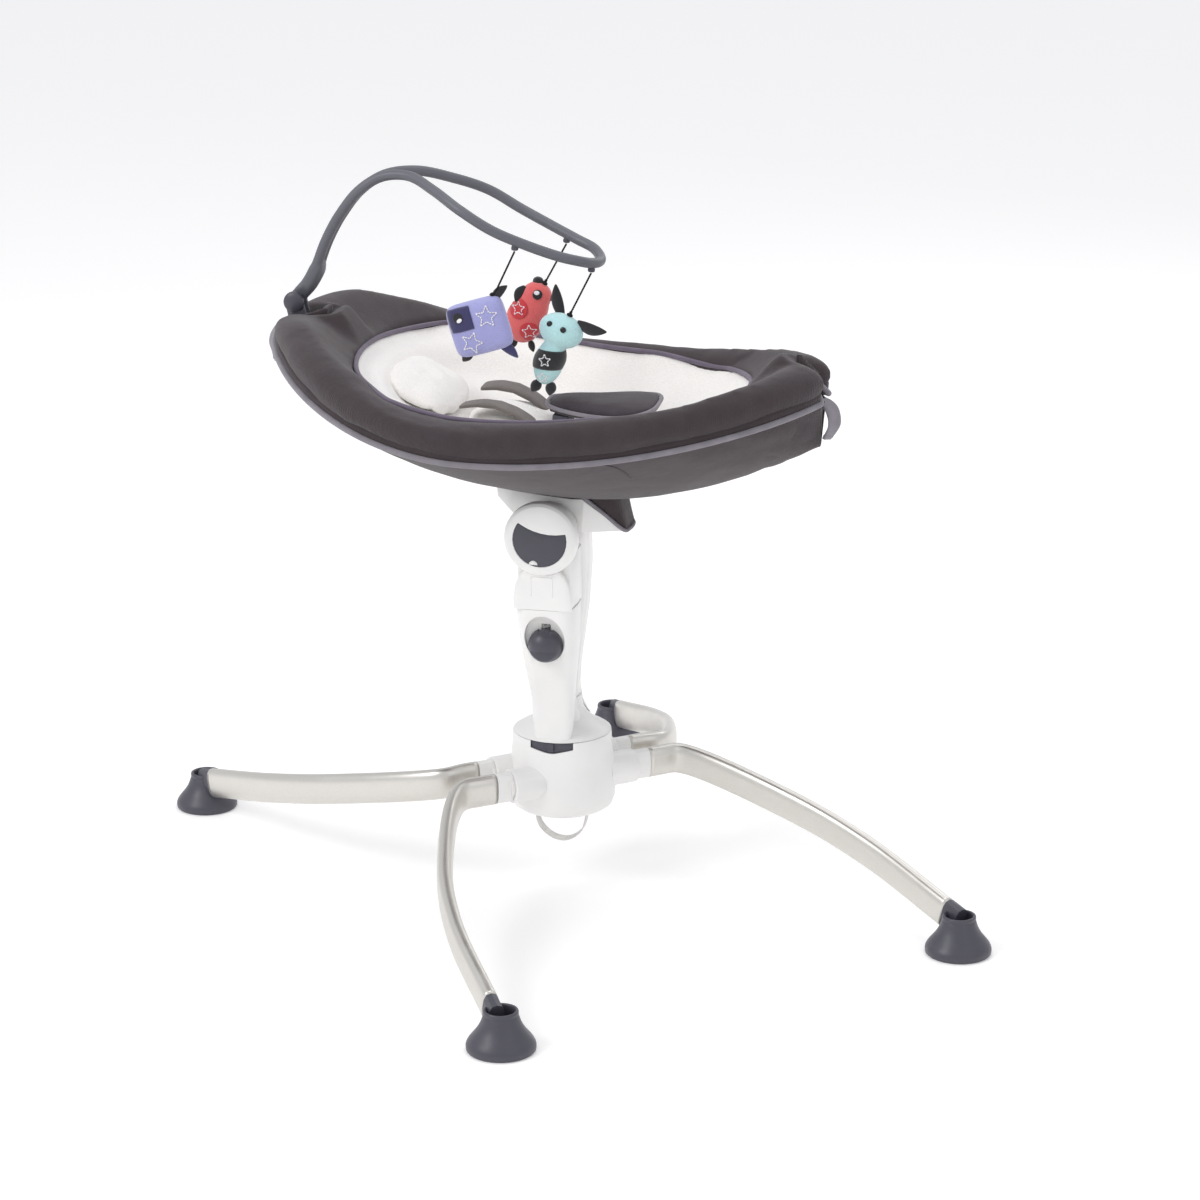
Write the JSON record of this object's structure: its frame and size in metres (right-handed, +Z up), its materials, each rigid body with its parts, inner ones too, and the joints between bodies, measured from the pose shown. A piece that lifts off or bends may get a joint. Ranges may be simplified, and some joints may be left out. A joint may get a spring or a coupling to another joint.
{
  "type": "high swivel baby bouncer seat",
  "caption": "Reclining padded infant cradle on a swivelling height-adjustable mast with four curved folding legs and a toy arch.",
  "frame": {"origin": "on the floor, on the swivel axis midway between the four feet", "axes": "+Z up along the swivel axis; the cradle lies along X with its head end towards -X and the front of the mast faces -Y"},
  "size_m": [1.1594, 1.1908, 0.9254],
  "materials": {
    "white_plastic": "satin moulded plastic",
    "dark_plastic": "satin dark grey plastic",
    "grey_plastic": "satin mid grey plastic",
    "satin_aluminium": "satin anodised tube",
    "steel": "plain",
    "charcoal_fabric": "woven",
    "grey_fabric": "woven tape",
    "white_fabric": "soft knit",
    "webbing": "woven webbing",
    "strap_fabric": "woven webbing",
    "lavender_plush": "plush",
    "coral_plush": "plush",
    "aqua_plush": "plush",
    "black_cord": "braided cord"
  },
  "bodies": {
    "base": {"hub_drum": "white_plastic", "hub_floor": "white_plastic", "swivel_bearing": "steel"},
    "swivel_lock": {"swivel_lock_slider": "dark_plastic"},
    "fold_release": {"fold_release_plate": "grey_plastic", "pull_strap": "webbing", "fold_release_spring": "steel"},
    "leg_right": {"leg_sleeve_right": "white_plastic", "leg_tube_right": "satin_aluminium", "leg_end_cap_right": "dark_plastic", "foot_right": "dark_plastic"},
    "leg_left": {"leg_sleeve_left": "white_plastic", "leg_tube_left": "satin_aluminium", "leg_end_cap_left": "dark_plastic", "foot_left": "dark_plastic"},
    "leg_rear": {"leg_sleeve_rear": "white_plastic", "leg_tube_rear": "satin_aluminium", "leg_end_cap_rear": "dark_plastic", "foot_rear": "dark_plastic"},
    "leg_front": {"leg_sleeve_front": "white_plastic", "leg_tube_front": "satin_aluminium", "leg_end_cap_front": "dark_plastic", "foot_front": "dark_plastic"},
    "turret": {"turret": "white_plastic", "inner_column": "satin_aluminium", "height_latch_spring": "steel"},
    "latch": {"height_latch": "dark_plastic"},
    "upper_mast": {"head_housing": "white_plastic", "upper_front_cover": "white_plastic", "rear_shell": "white_plastic"},
    "cradle": {"recline_axle": "steel", "recline_dial": "white_plastic", "recline_spring": "steel", "saddle_bracket": "white_plastic", "saddle_skirt": "charcoal_fabric", "seat_hull": "charcoal_fabric", "support_tray": "white_plastic", "seat_ring": "white_plastic", "border_roll_near": "charcoal_fabric", "border_roll_far": "charcoal_fabric", "liner": "white_fabric", "newborn_insert": "white_fabric", "head_pillow": "white_fabric", "harness_strap_near": "strap_fabric", "harness_strap_far": "strap_fabric", "crotch_pad": "charcoal_fabric", "harness_buckle": "dark_plastic", "pull_tab_head": "grey_fabric", "pull_tab_foot": "grey_fabric", "toybar_clamp": "grey_plastic", "toybar_knob": "dark_plastic"},
    "recline_button": {"recline_button": "dark_plastic"},
    "buckle_button": {"buckle_button": "grey_plastic"},
    "toy_arch": {"toybar_arch": "grey_plastic"},
    "toy_square": {"toy_square": "lavender_plush", "toy_cord_square": "black_cord"},
    "toy_dog": {"toy_dog": "coral_plush", "toy_cord_dog": "black_cord"},
    "toy_rabbit": {"toy_rabbit": "aqua_plush", "toy_cord_rabbit": "black_cord"}
  },
  "joints": [
    {"name": "leg_fold_right", "type": "hinge", "parent": "base", "child": "leg_right", "pos_m": [0.07831, 0.03156, 0.147], "axis": [0.7593, 0.6508, 0], "range_deg": [0, 65]},
    {"name": "leg_fold_left", "type": "hinge", "parent": "base", "child": "leg_left", "pos_m": [-0.07831, -0.03156, 0.147], "axis": [-0.7593, -0.6508, 0], "range_deg": [0, 65]},
    {"name": "leg_fold_rear", "type": "hinge", "parent": "base", "child": "leg_rear", "pos_m": [0.04317, 0.07256, 0.147], "axis": [-0.7593, -0.6508, 0], "range_deg": [0, 65]},
    {"name": "leg_fold_front", "type": "hinge", "parent": "base", "child": "leg_front", "pos_m": [-0.04317, -0.07256, 0.147], "axis": [0.7593, 0.6508, 0], "range_deg": [0, 65]},
    {"name": "fold_release_pull", "type": "slide", "parent": "base", "child": "fold_release", "axis": [0, 0, -1], "range_m": [0, 0.012], "stiffness_N_per_m": 500, "springref_m": -0.008, "deforming": ["fold_release_spring"]},
    {"name": "swivel", "type": "hinge", "parent": "base", "child": "turret", "pos_m": [0, 0, 0.186], "axis": [0, 0, 1], "continuous": true},
    {"name": "swivel_lock_slide", "type": "hinge", "parent": "base", "child": "swivel_lock", "pos_m": [0, 0, 0.197], "axis": [0, 0, 1], "range_deg": [-7, 7]},
    {"name": "height_latch_lift", "type": "slide", "parent": "turret", "child": "latch", "axis": [0, 0, 1], "range_m": [0, 0.012], "stiffness_N_per_m": 300, "springref_m": -0.006, "deforming": ["height_latch_spring"]},
    {"name": "height", "type": "slide", "parent": "turret", "child": "upper_mast", "axis": [0, 0, 1], "range_m": [0, 0.09]},
    {"name": "recline", "type": "hinge", "parent": "upper_mast", "child": "cradle", "pos_m": [0, 0, 0.488], "axis": [0, 1, 0], "range_deg": [0, 20]},
    {"name": "recline_button_press", "type": "slide", "parent": "cradle", "child": "recline_button", "axis": [0, 1, 0], "range_m": [0, 0.004], "stiffness_N_per_m": 600, "springref_m": -0.002, "deforming": ["recline_spring"]},
    {"name": "buckle_button_press", "type": "slide", "parent": "cradle", "child": "buckle_button", "axis": [-0.0837, 0, -0.9965], "range_m": [0, 0.002], "stiffness_N_per_m": 400, "springref_m": -0.001},
    {"name": "toy_arch_tilt", "type": "hinge", "parent": "cradle", "child": "toy_arch", "pos_m": [-0.34422, 0, 0.75073], "axis": [0, -1, 0], "range_deg": [0, 36]},
    {"name": "toy_square_swing", "type": "hinge", "parent": "toy_arch", "child": "toy_square", "pos_m": [-0.04155, -0.068, 0.84172], "axis": [0, 1, 0], "range_deg": [-45, 25]},
    {"name": "toy_dog_swing", "type": "hinge", "parent": "toy_arch", "child": "toy_dog", "pos_m": [-0.00655, 0.058, 0.82824], "axis": [0, 1, 0], "range_deg": [-45, 25]},
    {"name": "toy_rabbit_swing", "type": "hinge", "parent": "toy_arch", "child": "toy_rabbit", "pos_m": [0.04405, -0.022, 0.80944], "axis": [0, 1, 0], "range_deg": [-45, 25]}
  ]
}
